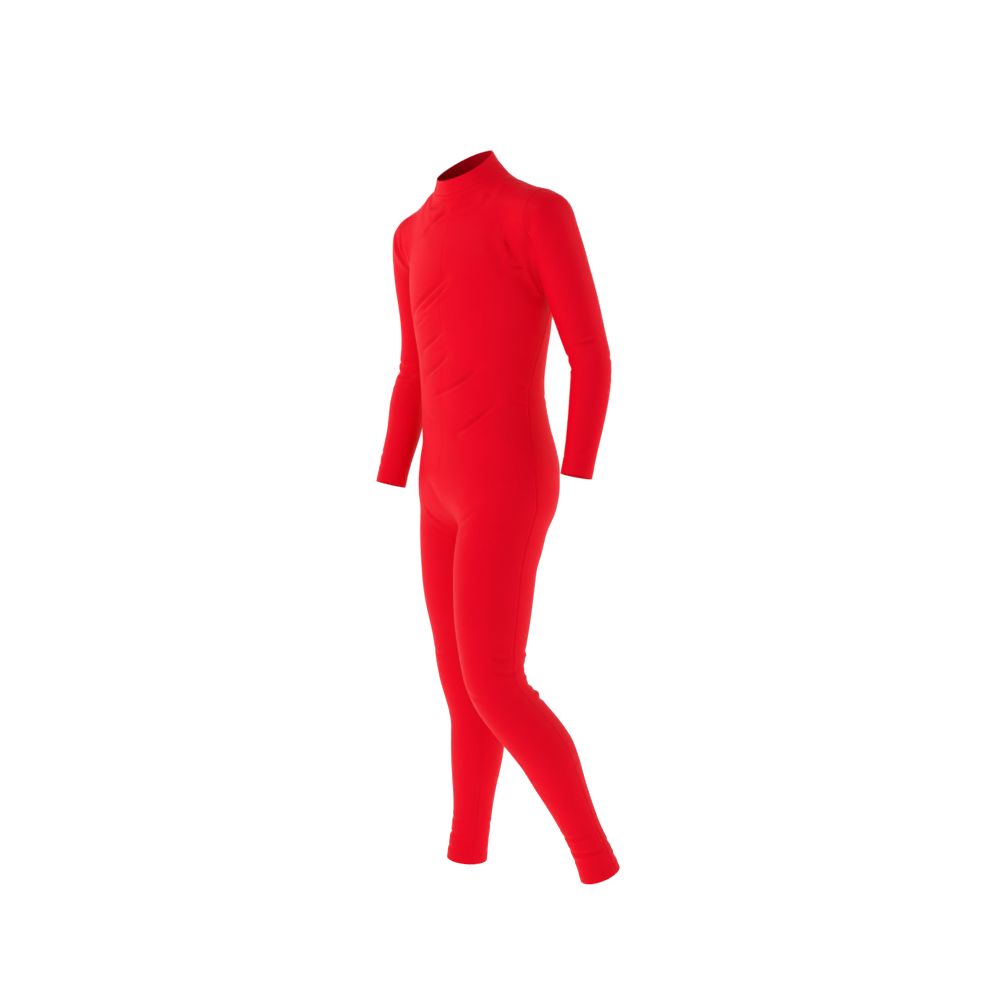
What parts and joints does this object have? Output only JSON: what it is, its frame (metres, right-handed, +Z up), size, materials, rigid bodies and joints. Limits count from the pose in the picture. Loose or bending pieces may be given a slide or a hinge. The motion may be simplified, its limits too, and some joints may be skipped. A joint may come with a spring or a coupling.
{
  "type": "dance unitard",
  "caption": "Stretch dance unitard with a mock neck, long sleeves, ankle-length legs and a zip at the centre back, held open in an easy step.",
  "frame": {"origin": "middle of the neck at the level of the shoulders, where the wearer's shoulders hold the garment up", "axes": "+Z up, front of the garment towards -Y, the wearer's left towards +X"},
  "size_m": [0.5369, 0.2981, 1.4672],
  "materials": {
    "stretch_knit": "matte tricot knit with a soft sheen, bright red",
    "zip_tape": "dyed red coil and woven tape",
    "zip_metal": "red satin enamel"
  },
  "bodies": {
    "garment": {"front_left": "stretch_knit", "front_right": "stretch_knit", "back_left": "stretch_knit", "back_right": "stretch_knit", "sleeve_left": "stretch_knit", "sleeve_right": "stretch_knit", "collar": "stretch_knit", "zip_chain": "zip_tape", "zip_slider": "zip_metal"},
    "pull": {"zip_tab": "zip_metal"}
  },
  "joints": [
    {"name": "zip_tab_lift", "type": "hinge", "parent": "garment", "child": "pull", "pos_m": [0, 0.04169, 0.05985], "axis": [1, 0, 0], "range_deg": [0, 150]}
  ]
}
